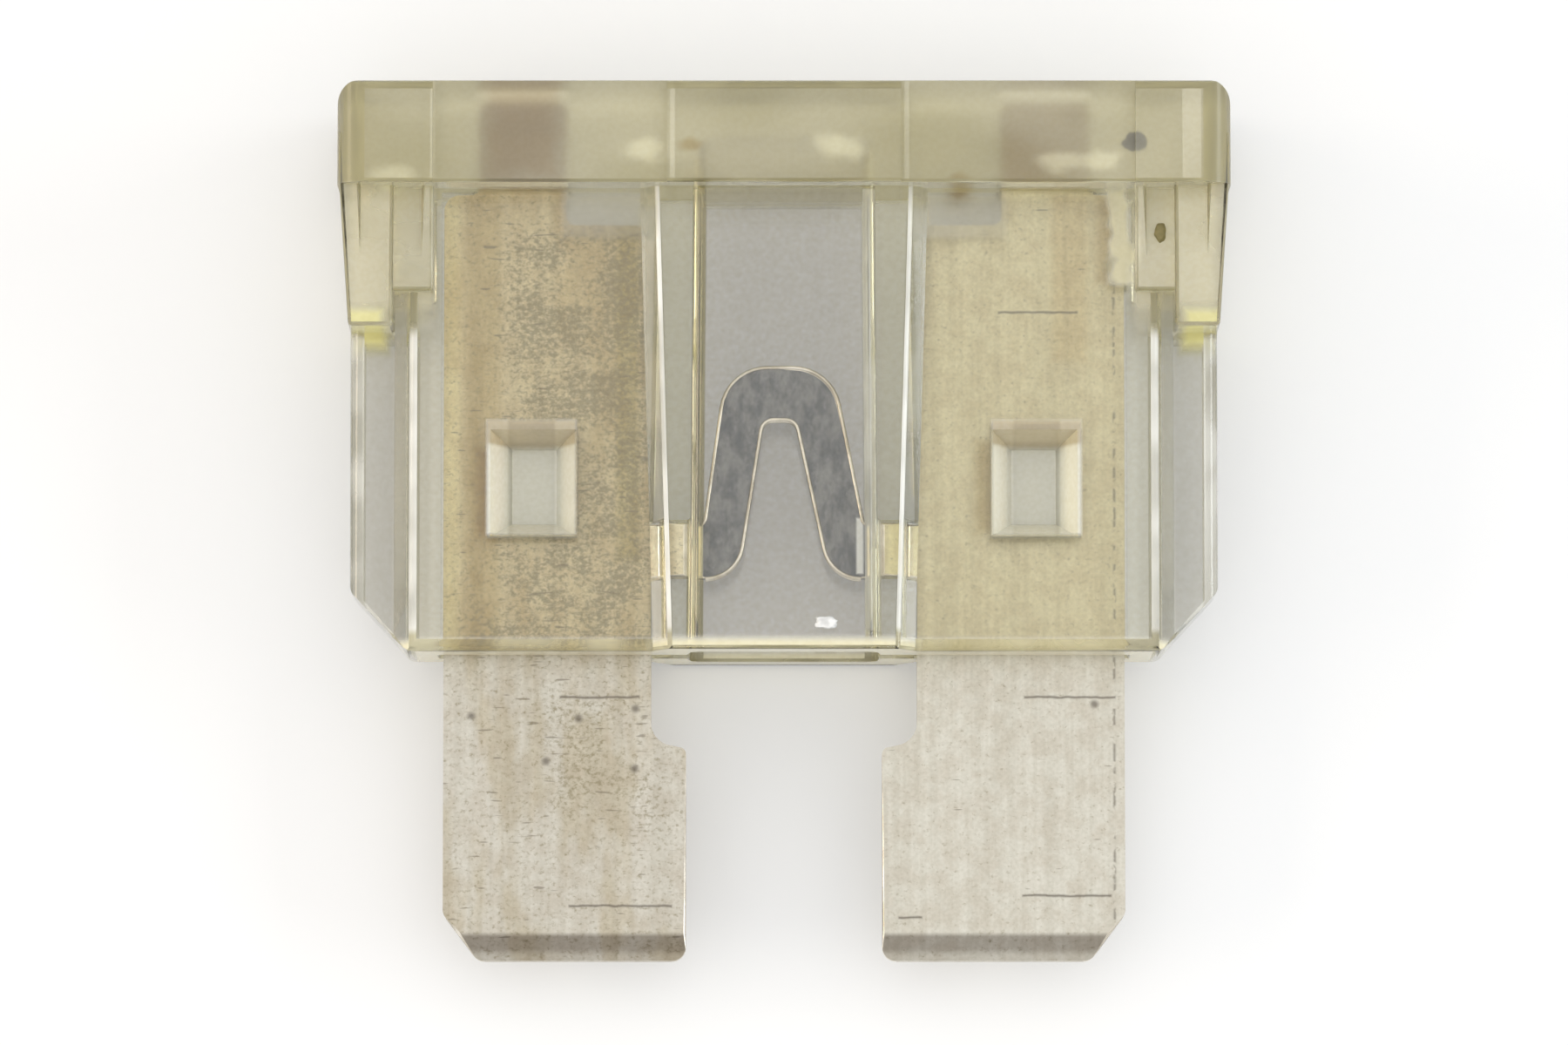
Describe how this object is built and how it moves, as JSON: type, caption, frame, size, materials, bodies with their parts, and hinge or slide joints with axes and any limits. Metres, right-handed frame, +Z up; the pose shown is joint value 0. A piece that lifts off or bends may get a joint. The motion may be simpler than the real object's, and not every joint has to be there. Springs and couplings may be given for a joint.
{
  "type": "blade fuse",
  "caption": "Plug-in blade fuse: a clear, faintly yellow moulded housing with stepped shoulders over a stamped metal element with flat blades and a thin arched link.",
  "frame": {"origin": "middle of the fuse's outline, on the surface that it lies on", "axes": "+X across the blades, +Y from the blade tips to the head, +Z up. The fuse lies as it comes to rest, on the back edges of its head and centre block, so its blades slope down by 3.45 degrees towards their tips."},
  "size_m": [0.0192, 0.0188, 0.0052],
  "materials": {
    "clear_plastic": "clear injection-moulded plastic with a faint yellow tint",
    "plated_zinc": "dull plated zinc, stained and scratched"
  },
  "bodies": {
    "root": {"housing": "clear_plastic", "fuse_element": "plated_zinc"}
  },
  "joints": []
}
